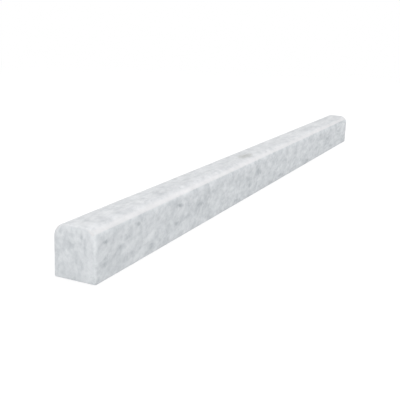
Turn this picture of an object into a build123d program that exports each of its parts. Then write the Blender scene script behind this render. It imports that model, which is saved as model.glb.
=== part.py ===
from build123d import *
import os

# A pencil liner: one bar of white-grey marble, sawn from slab and finished as trim between wall tiles.
# It lies on its sawn back with the rounded face up. X runs along the bar, Y across its face and Z up
# from the back. The origin is the middle of the back.

# Driving dimensions, in millimetres
length = 305.0  # stock length, nominal 12 in
width = 15.0  # across the face, nominal 5/8 in
thickness = 17.2  # from the back to the crown of the face, gauged down from nominal 3/4 in slab
shoulder_radius = 4.5  # quarter rounds along both long edges of the face
end_ease_radius = 1.5  # rounded arrises of the two sawn ends, round the sides and the face
back_arris = 0.4  # chamfer round the back that takes off the saw's sharp edge


def liner_section():
    """Section across the bar: upright on the back, with the two corners of the face rounded."""
    with BuildSketch(Plane.YZ) as section:
        Rectangle(width, thickness, align=(Align.CENTER, Align.MIN))
        face_corners = section.vertices().group_by(Axis.Y)[-1]
        fillet(face_corners, shoulder_radius)
    return section.sketch


def pencil_liner():
    """The section run along the bar, with its ends eased and its back's edges taken off."""
    with BuildPart() as bar:
        extrude(liner_section(), amount=length / 2, both=True)
        end_faces = bar.faces().filter_by(Axis.X)
        back_edges = bar.faces().sort_by(Axis.Z)[0].edges()
        fillet(end_faces.edges() - back_edges, end_ease_radius)
        chamfer(bar.faces().sort_by(Axis.Z)[0].edges(), back_arris)
    return bar.part


def main():
    os.makedirs("parts", exist_ok=True)
    export_step(pencil_liner(), "parts/pencil_liner.step")


main()
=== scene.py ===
"""A pencil liner: one slim bar of mottled white-grey marble, lying on its sawn back.

The bar is modelled over the solid of the frame, at the same size but with its ends eased less, and dressed
as honed stone. Lengths are in metres, and in millimetres where a name says so. X runs along the bar, away
from its near end, Y across its face, and Z up from the middle of its back.
"""
import logging
import math
from dataclasses import dataclass, field
from enum import Enum
from typing import Any, Callable

import bmesh
import bpy
from mathutils import Matrix, Vector


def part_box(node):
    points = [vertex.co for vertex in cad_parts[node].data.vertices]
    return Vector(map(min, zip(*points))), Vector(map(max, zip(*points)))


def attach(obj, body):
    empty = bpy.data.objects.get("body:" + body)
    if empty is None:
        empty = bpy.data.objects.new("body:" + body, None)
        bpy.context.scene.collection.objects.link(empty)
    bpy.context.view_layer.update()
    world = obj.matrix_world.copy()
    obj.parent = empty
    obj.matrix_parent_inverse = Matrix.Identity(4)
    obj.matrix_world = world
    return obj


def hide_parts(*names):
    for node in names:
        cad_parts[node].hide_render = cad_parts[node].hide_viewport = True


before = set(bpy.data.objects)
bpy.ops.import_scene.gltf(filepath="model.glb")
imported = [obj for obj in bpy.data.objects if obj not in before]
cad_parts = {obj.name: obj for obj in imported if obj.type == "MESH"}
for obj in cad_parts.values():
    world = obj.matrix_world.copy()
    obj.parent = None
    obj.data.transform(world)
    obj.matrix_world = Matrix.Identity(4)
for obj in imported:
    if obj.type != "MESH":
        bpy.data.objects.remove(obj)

MM = 0.001
NODE = "pencil_liner"
NOISE_MIDDLE = 0.5
CUT_TOLERANCE = 1e-7
RIGHT_ANGLE_DEG = 90.0
Colour = tuple[float, float, float]
Socket = bpy.types.NodeSocket
WHITE = (1.0, 1.0, 1.0, 1.0)
DEEP_GREY: Colour = (0.503, 0.532, 0.557)

log = logging.getLogger("pencil_liner")


class Surface(Enum):
    """How a face of the bar was finished. The value is the face's material number."""

    POLISHED_FACE = 0
    HONED_SIDE = 1
    SAWN_END = 2
    SAWN_BACK = 3


@dataclass(frozen=True)
class Grain:
    """A soft noise: the spacing of its larger patches, how many finer layers it has, and their strength."""

    size_mm: float
    detail: float
    roughness: float


class Graph:
    """Builds a node tree, one node at a time."""

    def __init__(self, tree: bpy.types.NodeTree) -> None:
        """Empties the tree."""
        self.tree = tree
        tree.nodes.clear()

    def add(self, kind: str, sockets: dict[Any, Any] | None = None, **settings: Any) -> bpy.types.Node:
        """Adds a node.

        Args:
            kind: the node's type, without the words ShaderNode.
            sockets: values, or outputs to link, for the node's inputs, by name or number.
            settings: the node's own options.

        Returns:
            The new node.
        """
        node = self.tree.nodes.new("ShaderNode" + kind)
        for name, value in settings.items():
            setattr(node, name, value)
        for key, value in (sockets or {}).items():
            if isinstance(value, Socket):
                self.tree.links.new(value, node.inputs[key])
            else:
                node.inputs[key].default_value = value
        return node

    def math(self, operation: str, first: Any, second: Any = 0.0) -> Socket:
        """Adds a calculation with one or two numbers, which operation names."""
        return self.add("Math", {0: first, 1: second}, operation=operation).outputs[0]

    def shift(self, vector: Any, by: Any) -> Socket:
        """Adds two vectors."""
        return self.add("VectorMath", {0: vector, 1: by}, operation="ADD").outputs[0]

    def stretch(self, vector: Any, by: float) -> Socket:
        """Multiplies a vector by a number."""
        return self.add("VectorMath", {0: vector, "Scale": by}, operation="SCALE").outputs[0]

    def ramp(self, value: Any, low: float, high: float, start: float = 0.0, end: float = 1.0) -> Socket:
        """Maps a value from low to high onto start to end, with a soft beginning and end."""
        sockets = {"Value": value, "From Min": low, "From Max": high, "To Min": start, "To Max": end}
        return self.add("MapRange", sockets, interpolation_type="SMOOTHSTEP").outputs[0]

    def scale(self, value: Any, low: float, high: float) -> Socket:
        """Maps a value from low to high evenly onto 0 to 1."""
        return self.add("MapRange", {"Value": value, "From Min": low, "From Max": high}).outputs[0]

    def cells(self, vector: Any, grain_mm: float, softness: float) -> Socket:
        """Adds a tone for each crystal of a mass of crystals, from 0 to 1.

        Args:
            vector: the place, in millimetres.
            grain_mm: how wide a crystal is.
            softness: how far neighbouring crystals melt into each other, from 0 to 1.

        Returns:
            The tone's socket.
        """
        sockets = {"Vector": vector, "Scale": 1.0 / grain_mm, "Smoothness": softness}
        crystals = self.add("TexVoronoi", sockets, feature="SMOOTH_F1")
        return self.add("SeparateColor", {0: crystals.outputs["Color"]}).outputs[0]

    def noise(self, vector: Any, grain: Grain) -> bpy.types.Node:
        """Adds a soft noise.

        Args:
            vector: the place, in millimetres.
            grain: the size and the fineness of its patches.

        Returns:
            The noise node: its first output is a number, and its second a colour.
        """
        patches = {"Vector": vector, "Scale": 1.0 / grain.size_mm}
        finer = {"Detail": grain.detail, "Roughness": grain.roughness}
        return self.add("TexNoise", patches | finer)

    def mix(self, share: Any, first: Any, second: Any) -> Socket:
        """Mixes two colours, or colours' sockets, by the second one's share, from 0 to 1."""
        both = [part if isinstance(part, Socket) else (*part, 1.0) for part in (first, second)]
        return self.add("Mix", {0: share, 6: both[0], 7: both[1]}, data_type="RGBA").outputs[2]


class Tint(Enum):
    """The colours that a mark in the stone can have."""

    DARK = "dark"
    PALE = "pale"
    STAIN = "stain"


@dataclass(frozen=True)
class Mark:
    """A patch that the stone shows at one place.

    The centre is measured from the middle of the back, along the bar, across it and up. The reach is half
    the patch's size in these directions, tilt raises its far end, and strength is how full its tint gets.
    """

    tint: Tint
    centre_mm: tuple[float, float, float]
    reach_mm: tuple[float, float, float]
    strength: float
    tilt_deg: float = 0.0

    def share(self, graph: Graph, place: Any, fray: Any) -> Socket:
        """Adds the patch's share of its tint, which is strongest in its middle.

        Args:
            graph: the tree that gets the nodes.
            place: the place on the stone, in millimetres.
            fray: how far the patch's edge is drawn in here, as a share of its reach.

        Returns:
            The share's socket.
        """
        turn = (0.0, -math.radians(self.tilt_deg), 0.0)
        sockets = {"Vector": place, "Location": self.centre_mm, "Rotation": turn, "Scale": self.reach_mm}
        local = graph.add("Mapping", sockets, vector_type="TEXTURE").outputs[0]
        reach = graph.add("VectorMath", {0: local}, operation="LENGTH").outputs["Value"]
        return graph.ramp(graph.math("ADD", reach, fray), 0.0, 1.0, self.strength, 0.0)


@dataclass(frozen=True)
class Layer:
    """One layer of the stone's mottling: its grain, how much it counts, and where its pattern starts."""

    grain: Grain
    weight: float
    start_mm: tuple[float, float, float]

    def level(self, graph: Graph, place: Any) -> Socket:
        """Adds the layer's part in the mottling at a place, in millimetres. It is about 0 on average."""
        noise = graph.noise(graph.shift(place, self.start_mm), self.grain)
        return graph.math("MULTIPLY", graph.math("SUBTRACT", noise.outputs[0], NOISE_MIDDLE), self.weight)


@dataclass(frozen=True)
class Marble:
    """The stone itself: its colours, and the size and run of its markings.

    The bedding is tilted and drawn out along the bar. Past opening_start_mm from the bar's middle it opens:
    its markings get longer, and more so with a higher opening_rate.
    """

    deep: Colour = DEEP_GREY
    crystal: Colour = (0.814, 0.836, 0.855)
    fleck: Colour = (0.330, 0.365, 0.392)
    stain: Colour = (0.370, 0.390, 0.370)
    bedding_stretch: tuple[float, float, float] = (0.65, 1.25, 1.0)
    bedding_tilt_deg: float = 10.0
    opening_start_mm: float = -72.5
    opening_rate: float = 0.0013
    wander_mm: float = 0.9
    wander_grain: Grain = Grain(6.0, 3.0, 0.6)
    layers: tuple[Layer, ...] = ()
    mottle_range: tuple[float, float] = (-0.5, 0.5)
    fleck_layer: Layer = Layer(Grain(2.4, 2.0, 0.5), 1.0, (37.0, 11.0, 19.0))
    fleck_range: tuple[float, float] = (0.12, 0.24)
    fleck_strength: float = 0.22
    wisp_layer: Layer = Layer(Grain(8.0, 3.0, 0.55), 1.0, (5.0, 41.0, 3.0))
    wisp_width: float = 0.03
    wisp_strength: float = 0.25
    crystal_mm: float = 1.7
    crystal_softness: float = 0.35
    crystal_weight: float = 0.22
    fray: float = 1.8
    fray_grain: Grain = Grain(1.1, 3.0, 0.6)
    marks: tuple[Mark, ...] = ()

    def place(self, graph: Graph) -> Socket:
        """Adds the place on the stone, in millimetres, that wanders a little so that no marking is regular.

        Args:
            graph: the tree that gets the nodes.

        Returns:
            The place's socket.
        """
        own = graph.add("TexCoord").outputs["Object"]
        place = graph.stretch(own, 1.0 / MM)
        drift = graph.noise(place, self.wander_grain).outputs[1]
        centred = graph.shift(drift, (-NOISE_MIDDLE, -NOISE_MIDDLE, -NOISE_MIDDLE))
        return graph.shift(place, graph.stretch(centred, self.wander_mm))

    def bedding(self, graph: Graph, place: Any) -> Socket:
        """Adds the place along the bedding, which is tilted and opens out towards the bar's far end.

        Args:
            graph: the tree that gets the nodes.
            place: the place on the stone, in millimetres.

        Returns:
            The place's socket.
        """
        along = graph.add("SeparateXYZ", {0: place}).outputs["X"]
        past = graph.math("MAXIMUM", graph.math("SUBTRACT", along, self.opening_start_mm), 0.0)
        drawn_back = graph.math("MULTIPLY", graph.math("MULTIPLY", past, past), -self.opening_rate)
        opened = graph.shift(place, graph.add("CombineXYZ", {"X": drawn_back}).outputs[0])
        tilt = (0.0, math.radians(self.bedding_tilt_deg), 0.0)
        tilted = graph.add("Mapping", {"Vector": opened, "Rotation": tilt}).outputs[0]
        return graph.add("Mapping", {"Vector": tilted, "Scale": self.bedding_stretch}).outputs[0]

    def colour(self, graph: Graph, place: Any, ground: Colour, marking: float) -> Socket:
        """Adds the stone's colour: its mottling, small flecks, pale wisps, and the marks at their places.

        Args:
            graph: the tree that gets the nodes.
            place: the place on the stone, in millimetres.
            ground: the plain tone under the markings.
            marking: how strongly the markings show, from 0 to 1.

        Returns:
            The colour's socket.
        """
        bedded = self.bedding(graph, place)
        crystals = graph.cells(bedded, self.crystal_mm, self.crystal_softness)
        level = graph.math("MULTIPLY", graph.math("SUBTRACT", crystals, NOISE_MIDDLE), self.crystal_weight)
        for layer in self.layers:
            level = graph.math("ADD", level, layer.level(graph, bedded))
        tone = graph.mix(graph.scale(level, *self.mottle_range), self.deep, self.crystal)
        flecks = self.fleck_layer.level(graph, bedded)
        tone = graph.mix(graph.ramp(flecks, *self.fleck_range, 0.0, self.fleck_strength), tone, self.fleck)
        ridge = graph.math("ABSOLUTE", self.wisp_layer.level(graph, bedded))
        tone = graph.mix(graph.ramp(ridge, self.wisp_width, 0.0, 0.0, self.wisp_strength), tone, self.crystal)
        tints = {Tint.DARK: self.fleck, Tint.PALE: self.crystal, Tint.STAIN: self.stain}
        ragged = graph.noise(place, self.fray_grain).outputs[0]
        fray = graph.math("MULTIPLY", graph.math("SUBTRACT", ragged, NOISE_MIDDLE), self.fray)
        for mark in self.marks:
            tone = graph.mix(mark.share(graph, place, fray), tone, tints[mark.tint])
        return graph.mix(marking, ground, tone)


@dataclass(frozen=True)
class PaintedLightStrip:
    """A strip along the bar where one tone is painted over the markings, as painted highlight or painted
    shade.
    """

    tone: Colour
    share: float
    start_mm: float
    full_mm: float

    def over(self, graph: Graph, place: Any, colour: Any) -> Socket:
        """Adds the strip's painted tone over a colour, from nothing at one height to its full share at
        another.

        Args:
            graph: the tree that gets the nodes.
            place: the place on the stone, in millimetres.
            colour: the colour that the tone is painted over.

        Returns:
            The painted colour's socket.
        """
        height = graph.add("SeparateXYZ", {0: place}).outputs["Z"]
        share = graph.ramp(height, self.start_mm, self.full_mm, 0.0, self.share)
        return graph.mix(share, colour, self.tone)


@dataclass(frozen=True)
class StoneFinish:
    """How one kind of face of the stone was worked: its gloss, its fine relief, and a strip of painted
    highlight or shade.
    """

    surface: Surface
    roughness: float
    roughness_swing: float
    specular: float
    relief_mm: float
    marking: float
    ground: Colour = (0.659, 0.684, 0.706)
    painted_light_strip: PaintedLightStrip | None = None
    gloss_grain: Grain = Grain(1.8, 4.0, 0.6)
    gloss_range: tuple[float, float] = (0.3, 0.7)
    pore_grain: Grain = Grain(0.5, 3.0, 0.65)
    saw_depth_mm: float = 0.0
    saw_grain: Grain = Grain(1.0, 3.0, 0.7)
    saw_stretch: tuple[float, float, float] = (0.02, 1.0, 0.02)

    def material(self, marble: Marble) -> bpy.types.Material:
        """Makes the finish's material.

        Args:
            marble: the stone that was worked.

        Returns:
            The material.
        """
        material = bpy.data.materials.new("marble_" + self.surface.name.lower())
        material.use_nodes = True
        graph = Graph(material.node_tree)
        place = marble.place(graph)
        shader = graph.add("BsdfPrincipled", {
            "Base Color": self._colour(graph, place, marble),
            "Roughness": self._gloss(graph, place),
            "Normal": self._relief(graph, place),
            "Specular IOR Level": self.specular,
        })
        graph.add("OutputMaterial", {"Surface": shader.outputs[0]})
        return material

    def _colour(self, graph: Graph, place: Any, marble: Marble) -> Socket:
        """Adds the stone's colour in this finish, with its strip of painted highlight or shade where it has
        one.
        """
        colour = marble.colour(graph, place, self.ground, self.marking)
        return self.painted_light_strip.over(graph, place, colour) if self.painted_light_strip else colour

    def _gloss(self, graph: Graph, place: Any) -> Socket:
        """Adds a roughness that varies from crystal to crystal.

        Args:
            graph: the tree that gets the nodes.
            place: the place on the stone, in millimetres.

        Returns:
            The roughness's socket.
        """
        patches = graph.noise(place, self.gloss_grain).outputs[0]
        low = self.roughness - self.roughness_swing
        high = self.roughness + self.roughness_swing
        return graph.ramp(patches, *self.gloss_range, low, high)

    def _relief(self, graph: Graph, place: Any) -> Socket:
        """Adds the finish's fine relief: pores and grain, with the saw's lines on a sawn face.

        Args:
            graph: the tree that gets the nodes.
            place: the place on the stone, in millimetres.

        Returns:
            The bumped normal's socket.
        """
        pores = graph.noise(place, self.pore_grain).outputs[0]
        height = graph.math("MULTIPLY", pores, self.relief_mm * MM)
        if self.saw_depth_mm:
            along = graph.add("Mapping", {"Vector": place, "Scale": self.saw_stretch}).outputs[0]
            lines = graph.noise(along, self.saw_grain).outputs[0]
            height = graph.math("ADD", height, graph.math("MULTIPLY", lines, self.saw_depth_mm * MM))
        return graph.add("Bump", {"Height": height, "Distance": 1.0, "Strength": 1.0}).outputs[0]


def deselect_all() -> None:
    """Deselects every object."""
    bpy.ops.object.select_all(action="DESELECT")


def pick_edges(piece: bpy.types.Object, wanted: Callable[[bmesh.types.BMEdge], bool]) -> None:
    """Selects, in edit mode, the edges that a test picks and no others.

    Args:
        piece: the object in edit mode.
        wanted: says whether an edge is selected.
    """
    bpy.ops.mesh.select_mode(type="EDGE")
    bpy.ops.mesh.select_all(action="DESELECT")
    shape = bmesh.from_edit_mesh(piece.data)
    for edge in shape.edges:
        if wanted(edge):
            edge.select_set(True)
    bmesh.update_edit_mesh(piece.data)


def cut_across(point: Vector, normal: Vector) -> None:
    """Cuts the whole shape in edit mode along a plane, and keeps both sides."""
    bpy.ops.mesh.select_all(action="SELECT")
    bpy.ops.mesh.bisect(plane_co=point, plane_no=normal, threshold=CUT_TOLERANCE)


@dataclass
class LinerBar:
    """The bar: a block with rounded shoulders, eased ends, a bevelled back and slightly worn arrises."""

    low: Vector
    high: Vector
    shoulder_radius: float = 4.5 * MM
    shoulder_segments: int = 16
    end_ease: float = 0.7 * MM
    end_segments: int = 6
    back_arris: float = 0.4 * MM
    back_segments: int = 2
    ring_spacing: float = 0.8 * MM
    row_spacing: float = 2.0 * MM
    wear_depth: float = 0.08 * MM
    wear_grain: float = 1.3 * MM
    wear_level: float = 0.25
    wave_depth: float = 0.05 * MM
    wave_grain: float = 16.0 * MM
    wave_level: float = 0.5
    relief_octaves: int = 2
    sharp_angle_deg: float = 35.0
    flat_normal: float = 0.97
    polish_turn_deg: float = 55.0
    touch: float = 0.01 * MM
    finishes: dict[Surface, StoneFinish] = field(default_factory=dict)

    def build(self) -> bpy.types.Object:
        """Models the bar from a block, as a mason would.

        Returns:
            The bar's object.
        """
        deselect_all()
        size = self.high - self.low
        bpy.ops.mesh.primitive_cube_add(size=1.0, location=(self.low + self.high) / 2)
        bar = bpy.context.active_object
        bar.name = "marble_liner_bar"
        bar.data.name = bar.name
        bar.scale = size
        bpy.ops.object.transform_apply(location=True, rotation=True, scale=True)
        bpy.ops.object.mode_set(mode="EDIT")
        self._round_shoulders(bar)
        self._ease_ends(bar)
        self._bevel_back(bar)
        self._cut_rows(bar)
        bpy.ops.object.mode_set(mode="OBJECT")
        self._wear(bar)
        self._smooth(bar)
        return bar

    def dress(self, bar: bpy.types.Object, marble: Marble) -> None:
        """Gives each face of the bar the finish that it was worked to.

        Args:
            bar: the bar's object.
            marble: the stone that the bar is cut from.
        """
        for surface in Surface:
            bar.data.materials.append(self.finishes[surface].material(marble))
        for face in bar.data.polygons:
            face.material_index = self._surface_of(face).value

    def _surface_of(self, face: bpy.types.MeshPolygon) -> Surface:
        """Tells how a face was finished, from its place and its direction.

        Args:
            face: a face of the bar.

        Returns:
            The face's finish.
        """
        depth = min(face.center.x - self.low.x, self.high.x - face.center.x)
        if abs(face.normal.x) > self.flat_normal and depth < self.wear_depth:
            return Surface.SAWN_END
        if face.normal.z < -self.flat_normal:
            return Surface.SAWN_BACK
        turn = math.degrees(math.atan2(abs(face.normal.y), face.normal.z))
        return Surface.POLISHED_FACE if turn < self.polish_turn_deg else Surface.HONED_SIDE

    def _round_shoulders(self, bar: bpy.types.Object) -> None:
        """Rounds the two long edges of the face.

        Args:
            bar: the bar's object, in edit mode.
        """
        def on_face(edge: bmesh.types.BMEdge) -> bool:
            """Tells a long upper edge from the rest."""
            first, second = (vertex.co for vertex in edge.verts)
            return abs(first.x - second.x) > self.touch and min(first.z, second.z) > self.high.z - self.touch

        pick_edges(bar, on_face)
        bpy.ops.mesh.bevel(offset=self.shoulder_radius, segments=self.shoulder_segments, affect="EDGES")

    def _ease_ends(self, bar: bpy.types.Object) -> None:
        """Rounds the outline of both ends, round the sides and the face.

        Args:
            bar: the bar's object, in edit mode.
        """
        lowest = self.low.z + self.touch

        def on_end(edge: bmesh.types.BMEdge) -> bool:
            """Tells an edge of an end's outline, other than its lowest edge."""
            first, second = (vertex.co for vertex in edge.verts)
            return abs(first.x - second.x) < self.touch and max(first.z, second.z) >= lowest

        pick_edges(bar, on_end)
        bpy.ops.mesh.bevel(offset=self.end_ease, segments=self.end_segments, affect="EDGES")

    def _bevel_back(self, bar: bpy.types.Object) -> None:
        """Takes off the sharp edge all round the back.

        Args:
            bar: the bar's object, in edit mode.
        """
        def on_back(edge: bmesh.types.BMEdge) -> bool:
            """Tells an edge that lies on the back."""
            return max(vertex.co.z for vertex in edge.verts) < self.low.z + self.touch

        pick_edges(bar, on_back)
        bpy.ops.mesh.bevel(offset=self.back_arris, segments=self.back_segments, affect="EDGES")

    def _cut_rows(self, bar: bpy.types.Object) -> None:
        """Cuts the plain faces into rows and rings, fine enough to take wear.

        Args:
            bar: the bar's object, in edit mode.
        """
        for level in self._steps(self.low.z + self.back_arris, self.high.z - self.shoulder_radius):
            cut_across(Vector((0, 0, level)), Vector((0, 0, 1)))
        for across in self._steps(self.low.y + self.shoulder_radius, self.high.y - self.shoulder_radius):
            cut_across(Vector((0, across, 0)), Vector((0, 1, 0)))
        margin = self.end_ease + self.back_arris
        for along in (self.low.x + margin, self.high.x - margin):
            cut_across(Vector((along, 0, 0)), Vector((1, 0, 0)))
        inner_length = self.high.x - self.low.x - 2 * margin

        def runs_along(edge: bmesh.types.BMEdge) -> bool:
            """Tells an edge that runs the whole length between the ends."""
            first, second = (vertex.co for vertex in edge.verts)
            return abs(first.x - second.x) > inner_length - self.touch

        pick_edges(bar, runs_along)
        bpy.ops.mesh.subdivide(number_cuts=round(inner_length / self.ring_spacing))

    def _steps(self, start: float, end: float) -> list[float]:
        """Lists the places of evenly spaced rows between two limits."""
        count = max(1, round((end - start) / self.row_spacing))
        return [start + (end - start) * step / count for step in range(1, count)]

    def _wear(self, bar: bpy.types.Object) -> None:
        """Wears the arrises a little unevenly, and lets the worked faces wave slightly.

        Args:
            bar: the bar's object.
        """
        arris = bar.vertex_groups.new(name="arris")
        faces = bar.vertex_groups.new(name="faces")
        for vertex in bar.data.vertices:
            above_back = vertex.co.z - self.low.z
            from_end = min(vertex.co.x - self.low.x, self.high.x - vertex.co.x)
            if self.touch < above_back < self.back_arris + self.touch or (
                self.touch < from_end < self.end_ease - self.touch and above_back > self.touch
            ):
                arris.add([vertex.index], 1.0, "REPLACE")
            if above_back > self.back_arris:
                faces.add([vertex.index], 1.0, "REPLACE")
        self._displace(bar, "arris", self.wear_grain, self.wear_depth, self.wear_level)
        self._displace(bar, "faces", self.wave_grain, self.wave_depth, self.wave_level)

    def _displace(self, bar: bpy.types.Object, group: str, grain: float, depth: float, level: float) -> None:
        """Moves a group of points along their normals by a soft noise.

        Args:
            bar: the bar's object.
            group: the name of the points' group.
            grain: the size of the noise's patches.
            depth: how far the noise moves a point inwards.
            level: the noise's value that leaves a point where it is.
        """
        clouds = bpy.data.textures.new(group + "_relief", type="CLOUDS")
        clouds.noise_scale = grain
        clouds.noise_depth = self.relief_octaves
        modifier = bar.modifiers.new(group + "_relief", "DISPLACE")
        modifier.texture = clouds
        modifier.texture_coords = "LOCAL"
        modifier.vertex_group = group
        modifier.strength = -depth
        modifier.mid_level = level
        bpy.ops.object.modifier_apply(modifier=modifier.name)

    def _smooth(self, bar: bpy.types.Object) -> None:
        """Shades the rounded parts smoothly, with the flat faces kept flat.

        Args:
            bar: the bar's object.
        """
        bpy.ops.object.shade_smooth_by_angle(angle=math.radians(self.sharp_angle_deg))
        modifier = bar.modifiers.new("flat_faces", "WEIGHTED_NORMAL")
        modifier.keep_sharp = True
        bpy.ops.object.modifier_apply(modifier=modifier.name)


@dataclass(frozen=True)
class SoftLamp:
    """A rectangular soft lamp that points from its place to its aim, with its first side turned as given."""

    name: str
    place: tuple[float, float, float]
    sides: tuple[float, float]
    watts: float
    aim: tuple[float, float, float] = (0.0, 0.0, 0.0)
    first_side: tuple[float, float, float] = (0.0, 1.0, 0.0)

    def build(self) -> bpy.types.Object:
        """Adds the lamp.

        Returns:
            The lamp's object.
        """
        data = bpy.data.lights.new(self.name, "AREA")
        data.shape = "RECTANGLE"
        data.size, data.size_y = self.sides
        data.energy = self.watts
        lamp = bpy.data.objects.new(self.name, data)
        back = (Vector(self.place) - Vector(self.aim)).normalized()
        upper = back.cross(Vector(self.first_side)).normalized()
        turn = Matrix((upper.cross(back), upper, back)).transposed()
        lamp.matrix_world = Matrix.Translation(self.place) @ turn.to_4x4()
        bpy.context.scene.collection.objects.link(lamp)
        return lamp


@dataclass(frozen=True)
class PaleFloor:
    """A plain pale floor that looks white to the camera and keeps the bar's shadow."""

    side: float = 30.0
    bounce: Colour = (0.83, 0.83, 0.83)
    shade: Colour = (0.30, 0.30, 0.30)
    glow: float = 0.74
    shade_reach: tuple[float, float] = (0.30, 0.80)

    def build(self) -> bpy.types.Object:
        """Adds the floor under the bar.

        Returns:
            The floor's object.
        """
        deselect_all()
        bpy.ops.mesh.primitive_plane_add(size=self.side, location=(0.0, 0.0, 0.0))
        floor = bpy.context.active_object
        floor.name = "pale_floor"
        floor.data.materials.append(self.material())
        return floor

    def material(self) -> bpy.types.Material:
        """Makes the floor's material: white to the camera and in reflections, pale paint for other light.

        Returns:
            The material.
        """
        material = bpy.data.materials.new("pale_floor")
        material.use_nodes = True
        graph = Graph(material.node_tree)
        path = graph.add("LightPath").outputs
        seen = graph.math("MAXIMUM", path["Is Camera Ray"], path["Is Glossy Ray"])
        seen = graph.math("MAXIMUM", seen, path["Is Transmission Ray"])
        paint = graph.add("BsdfDiffuse", {"Color": (*self.bounce, 1.0)})
        shade = graph.add("BsdfDiffuse", {"Color": (*self.shade, 1.0)})
        glow = graph.add("Emission", {"Color": WHITE, "Strength": self.glow})
        shaded = graph.add("AddShader", {0: shade.outputs[0], 1: glow.outputs[0]})
        plain = graph.add("Emission", {"Color": WHITE, "Strength": 1.0})
        place = graph.add("TexCoord").outputs["Object"]
        reach = graph.add("VectorMath", {0: place}, operation="LENGTH").outputs["Value"]
        far = graph.ramp(reach, *self.shade_reach)
        white = graph.add("MixShader", {0: far, 1: shaded.outputs[0], 2: plain.outputs[0]})
        both = graph.add("MixShader", {0: seen, 1: paint.outputs[0], 2: white.outputs[0]})
        graph.add("OutputMaterial", {"Surface": both.outputs[0]})
        return material


@dataclass
class Studio:
    """The plain studio: soft light from all round, soft lamps and a pale floor."""

    sky: float = 0.62
    lamps: tuple[SoftLamp, ...] = ()
    floor: PaleFloor = field(default_factory=PaleFloor)

    def build(self) -> None:
        """Adds the floor, the lamps and the light from all round."""
        self.floor.build()
        for lamp in self.lamps:
            lamp.build()
        self._build_sky()
        bpy.context.scene.view_settings.view_transform = "Standard"

    def _build_sky(self) -> None:
        """Adds an even sky that looks white to the camera alone."""
        world = bpy.data.worlds.new("soft_sky")
        world.use_nodes = True
        bpy.context.scene.world = world
        graph = Graph(world.node_tree)
        seen = graph.add("LightPath").outputs["Is Camera Ray"]
        strength = graph.ramp(seen, 0.0, 1.0, self.sky, 1.0)
        light = graph.add("Background", {"Color": WHITE, "Strength": strength})
        graph.add("OutputWorld", {"Surface": light.outputs[0]})


@dataclass(frozen=True)
class PhotoCamera:
    """The camera, fitted to the outline of the bar in the photograph."""

    place: tuple[float, float, float] = (-305.88 * MM, -110.58 * MM, 75.57 * MM)
    heading_deg: float = -65.25
    dip_deg: float = 14.84
    roll_deg: float = 2.30
    lens_mm: float = 60.33
    sensor_mm: float = 36.0
    clip_range: tuple[float, float] = (0.01, 100.0)

    def build(self) -> bpy.types.Object:
        """Adds the camera and makes it the scene's.

        Returns:
            The camera's object.
        """
        data = bpy.data.cameras.new("photo_camera")
        data.lens = self.lens_mm
        data.sensor_width = self.sensor_mm
        data.clip_start, data.clip_end = self.clip_range
        camera = bpy.data.objects.new("photo_camera", data)
        turn = Matrix.Rotation(math.radians(self.heading_deg), 4, "Z")
        tilt = Matrix.Rotation(math.radians(RIGHT_ANGLE_DEG - self.dip_deg), 4, "X")
        roll = Matrix.Rotation(math.radians(self.roll_deg), 4, "Z")
        camera.matrix_world = Matrix.Translation(self.place) @ turn @ tilt @ roll
        bpy.context.scene.collection.objects.link(camera)
        bpy.context.scene.camera = camera
        return camera


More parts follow.
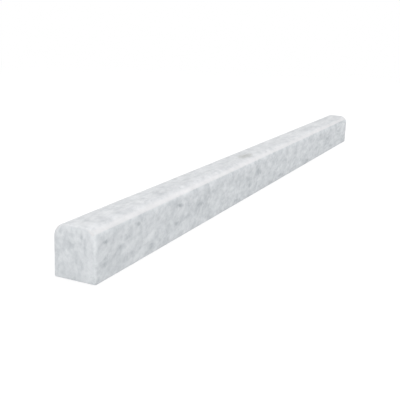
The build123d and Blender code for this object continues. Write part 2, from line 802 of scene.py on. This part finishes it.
def side_marks(low: Vector) -> tuple[Mark, ...]:
    """Lists the clearest marks on the long side in view, in millimetres from the near end and the back.

    Args:
        low: the bar's lowest corner.

    Returns:
        The marks.
    """
    near, side = low.x / MM, low.y / MM

    def fleck(
        tint: Tint, along: float, up: float, reach: tuple[float, float], strength: float, tilt: float = 0.0
    ) -> Mark:
        """Makes a mark on the side, as deep as it is high."""
        return Mark(tint, (near + along, side, up), (reach[0], reach[1], reach[1]), strength, tilt)

    return (
        fleck(Tint.DARK, 5.0, 12.0, (2.0, 1.0), 0.62),
        fleck(Tint.DARK, 13.0, 8.3, (1.9, 1.5), 0.41),
        fleck(Tint.DARK, 4.5, 5.0, (1.7, 1.2), 0.41),
        fleck(Tint.DARK, 17.0, 10.2, (2.2, 1.4), 0.35),
        fleck(Tint.DARK, 24.5, 12.6, (2.0, 0.9), 0.50, -12.0),
        fleck(Tint.DARK, 33.5, 2.6, (2.8, 1.8), 0.50),
        fleck(Tint.DARK, 53.5, 12.0, (3.2, 0.9), 0.69, -8.0),
        fleck(Tint.DARK, 51.0, 6.0, (2.8, 1.1), 0.45, -8.0),
        fleck(Tint.DARK, 71.0, 8.5, (4.0, 1.5), 0.43, -6.0),
        fleck(Tint.DARK, 76.5, 9.6, (4.0, 1.5), 0.33),
        fleck(Tint.DARK, 107.0, 2.0, (3.4, 1.1), 0.41),
        fleck(Tint.DARK, 110.0, 8.0, (3.0, 1.5), 0.34),
        fleck(Tint.DARK, 123.0, 5.4, (3.4, 1.2), 0.43),
        fleck(Tint.DARK, 133.8, 9.3, (7.0, 1.9), 0.52),
        fleck(Tint.DARK, 166.0, 2.1, (6.0, 1.2), 0.53),
        fleck(Tint.DARK, 173.5, 9.0, (4.0, 1.2), 0.35),
        fleck(Tint.DARK, 202.0, 3.9, (5.0, 1.4), 0.34),
        fleck(Tint.DARK, 214.0, 1.8, (5.5, 1.4), 0.42),
        fleck(Tint.DARK, 232.0, 6.5, (5.0, 1.4), 0.43),
        fleck(Tint.DARK, 241.0, 10.3, (6.0, 1.5), 0.34),
        fleck(Tint.DARK, 257.0, 8.6, (7.0, 1.8), 0.36),
        fleck(Tint.DARK, 267.0, 2.8, (8.0, 1.3), 0.38, -8.0),
        fleck(Tint.DARK, 283.0, 9.8, (5.5, 1.4), 0.48),
        fleck(Tint.PALE, 34.2, 6.8, (3.2, 1.8), 0.60),
        fleck(Tint.PALE, 17.0, 6.5, (5.0, 1.1), 0.50, 12.0),
        fleck(Tint.PALE, 28.3, 2.6, (4.5, 1.5), 0.43),
        fleck(Tint.PALE, 40.0, 11.5, (5.0, 1.1), 0.38, 15.0),
        fleck(Tint.PALE, 64.0, 11.5, (6.0, 1.1), 0.43),
        fleck(Tint.PALE, 101.5, 8.5, (4.0, 1.5), 0.50),
        fleck(Tint.PALE, 100.5, 13.6, (3.2, 2.2), 0.60),
        fleck(Tint.PALE, 135.5, 6.1, (5.5, 1.7), 0.58),
        fleck(Tint.PALE, 128.5, 11.2, (2.8, 1.3), 0.42),
        fleck(Tint.PALE, 165.0, 12.0, (6.0, 1.8), 0.50),
        fleck(Tint.PALE, 194.5, 8.2, (5.0, 1.9), 0.46),
        fleck(Tint.PALE, 207.5, 8.0, (6.0, 1.6), 0.54),
        fleck(Tint.PALE, 280.0, 6.5, (10.0, 1.6), 0.42),
    )


def end_marks(low: Vector) -> tuple[Mark, ...]:
    """Lists the clearest marks on the near end, in millimetres from its middle line and the back.

    Args:
        low: the bar's lowest corner.

    Returns:
        The marks.
    """
    near = low.x / MM
    depth_mm = 2.0

    def streak(tint: Tint, across: float, up: float, reach: tuple[float, float], strength: float) -> Mark:
        """Makes a mark on the end that runs a little way into the bar."""
        return Mark(tint, (near, across, up), (depth_mm, reach[0], reach[1]), strength)

    return (
        streak(Tint.DARK, -2.5, 14.2, (0.8, 1.3), 0.50),
        streak(Tint.DARK, 5.2, 14.6, (1.0, 1.3), 0.35),
        streak(Tint.DARK, 1.2, 11.0, (2.3, 1.8), 0.42),
        streak(Tint.DARK, -0.4, 8.8, (1.5, 1.1), 0.34),
        streak(Tint.DARK, 2.6, 7.5, (1.5, 0.8), 0.28),
        streak(Tint.DARK, 6.0, 2.9, (1.0, 1.3), 0.28),
        streak(Tint.DARK, -3.7, 12.0, (0.9, 2.6), 0.34),
        streak(Tint.PALE, -5.6, 7.0, (2.0, 9.0), 0.50),
        streak(Tint.PALE, -4.0, 1.2, (4.0, 2.4), 0.38),
        streak(Tint.PALE, 0.7, 2.4, (2.4, 2.2), 0.48),
    )


def painted_arris_highlights(low: Vector, high: Vector) -> tuple[Mark, ...]:
    """Lists the pale marks painted along the near end's arrises as highlights, in millimetres.

    Args:
        low: the bar's lowest corner.
        high: the bar's highest corner.

    Returns:
        The marks.
    """
    near, front, top = low.x / MM, low.y / MM, high.z / MM

    def painted_highlight(across: float, up: float, reach: tuple[float, float, float], strength: float) -> Mark:
        """Makes a painted highlight on the near end's rim."""
        return Mark(Tint.PALE, (near, across, up), reach, strength)

    # Painted highlights: the lower and upper front arris, the front top corner, and the top edge of the near
    # end.
    return (
        painted_highlight(front, 4.0, (1.2, 2.0, 6.0), 0.50),
        painted_highlight(front, 12.3, (1.8, 1.4, 6.0), 1.00),
        painted_highlight(front + 0.6, 14.6, (2.0, 2.0, 3.2), 1.00),
        painted_highlight(0.0, top - 0.6, (1.0, 8.5, 2.8), 0.62),
    )


def face_marks(low: Vector, high: Vector) -> tuple[Mark, ...]:
    """Lists the clearest marks on the rounded face, in millimetres from the near end and its middle line.

    Args:
        low: the bar's lowest corner.
        high: the bar's highest corner.

    Returns:
        The marks.
    """
    near, top = low.x / MM, high.z / MM
    depth_mm = 1.5

    def spot(tint: Tint, along: float, across: float, reach: tuple[float, float], strength: float) -> Mark:
        """Makes a mark on the face that runs a little way down."""
        return Mark(tint, (near + along, across, top), (reach[0], reach[1], depth_mm), strength)

    return (
        spot(Tint.STAIN, 129.2, -2.0, (10.5, 4.0), 0.85),
        spot(Tint.PALE, 1.5, 0.0, (3.2, 4.5), 0.36),
        spot(Tint.DARK, 6.2, -0.1, (2.2, 1.3), 0.42),
        spot(Tint.DARK, 21.5, 0.5, (3.5, 1.3), 0.38),
        spot(Tint.DARK, 37.5, -0.8, (2.6, 1.2), 0.40),
        spot(Tint.DARK, 47.0, -0.6, (4.5, 2.6), 0.45),
        spot(Tint.DARK, 71.0, -0.7, (4.5, 1.5), 0.45),
        spot(Tint.DARK, 198.0, -3.3, (5.0, 1.2), 0.38),
        spot(Tint.DARK, 234.0, -1.3, (11.0, 2.2), 0.40),
        spot(Tint.DARK, 281.0, 2.2, (9.0, 1.8), 0.36),
    )


def liner_marble(low: Vector, high: Vector) -> Marble:
    """Chooses the stone, with the marks that the bar shows and the highlights painted on its near end.

    Args:
        low: the bar's lowest corner.
        high: the bar's highest corner.

    Returns:
        The stone.
    """
    layers = (
        Layer(Grain(9.0, 1.0, 0.5), 0.55, (910.9, 0.0, -217.3)),
        Layer(Grain(3.6, 1.0, 0.6), 1.05, (192.2, 150.0, -28.8)),
        Layer(Grain(1.4, 2.0, 0.6), 0.88, (777.9, 50.0, -187.3)),
    )
    marks = (*side_marks(low), *end_marks(low), *face_marks(low, high), *painted_arris_highlights(low, high))
    return Marble(layers=layers, marks=marks)


def liner_finishes() -> dict[Surface, StoneFinish]:
    """Lists how each kind of face was worked.

    Returns:
        The finish of each surface.
    """
    finishes = (
        StoneFinish(
            Surface.POLISHED_FACE,
            roughness=0.32,
            roughness_swing=0.04,
            specular=0.5,
            relief_mm=0.01,
            marking=0.85,
            ground=(0.718, 0.684, 0.694),
            # Painted highlight: a pale tone painted along the upper shoulder, where the lamps' sheen lies on
            # the polish.
            painted_light_strip=PaintedLightStrip((0.716, 0.708, 0.716), share=0.55, start_mm=16.8, full_mm=16.0),
        ),
        StoneFinish(
            Surface.HONED_SIDE,
            roughness=0.65,
            roughness_swing=0.06,
            specular=0.2,
            relief_mm=0.02,
            marking=1.0,
            # Painted shade: the side is painted darker just under the polish line, to even out its shading
            # there.
            painted_light_strip=PaintedLightStrip(DEEP_GREY, share=0.14, start_mm=13.5, full_mm=14.8),
        ),
        StoneFinish(
            Surface.SAWN_END,
            roughness=0.62,
            roughness_swing=0.06,
            specular=0.3,
            relief_mm=0.03,
            marking=0.85,
            saw_depth_mm=0.04,
        ),
        StoneFinish(
            Surface.SAWN_BACK,
            roughness=0.75,
            roughness_swing=0.08,
            specular=0.2,
            relief_mm=0.05,
            marking=1.0,
            saw_depth_mm=0.03,
            saw_grain=Grain(1.2, 3.0, 0.7),
        ),
    )
    return {finish.surface: finish for finish in finishes}


def studio_lamps() -> tuple[SoftLamp, ...]:
    """Lists the studio's lamps.

    Returns:
        The lamps.
    """
    return (
        SoftLamp("overhead_lamp", place=(0.0, 0.0, 1.2), sides=(1.2, 1.2), watts=6.1),
        SoftLamp("near_end_lamp", place=(-1.3, -0.3, 0.7), sides=(0.9, 0.9), watts=4.6),
        SoftLamp(
            "shoulder_lamp",
            place=(1.0, -0.55, 0.58),
            sides=(0.8, 0.55),
            watts=1.95,
            aim=(0.0, -0.55, 0.58),
            first_side=(0.0, -0.90, 0.44),
        ),
        SoftLamp(
            "near_shoulder_lamp",
            place=(1.0, -0.40, 0.80),
            sides=(0.7, 0.3),
            watts=1.85,
            aim=(0.0, -0.40, 0.80),
            first_side=(0.0, -0.90, -0.43),
        ),
    )


def main() -> None:
    """Builds the bar, its studio and its camera."""
    logging.basicConfig(level=logging.INFO, format="%(name)s: %(message)s")
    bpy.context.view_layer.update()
    PhotoCamera().build()
    Studio(lamps=studio_lamps()).build()
    low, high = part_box(NODE)
    liner = LinerBar(low, high, finishes=liner_finishes())
    bar = liner.build()
    liner.dress(bar, liner_marble(low, high))
    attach(bar, "root")
    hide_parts(NODE)
    log.info("%s has %d faces", bar.name, len(bar.data.polygons))


if __name__ == "__main__":
    main()
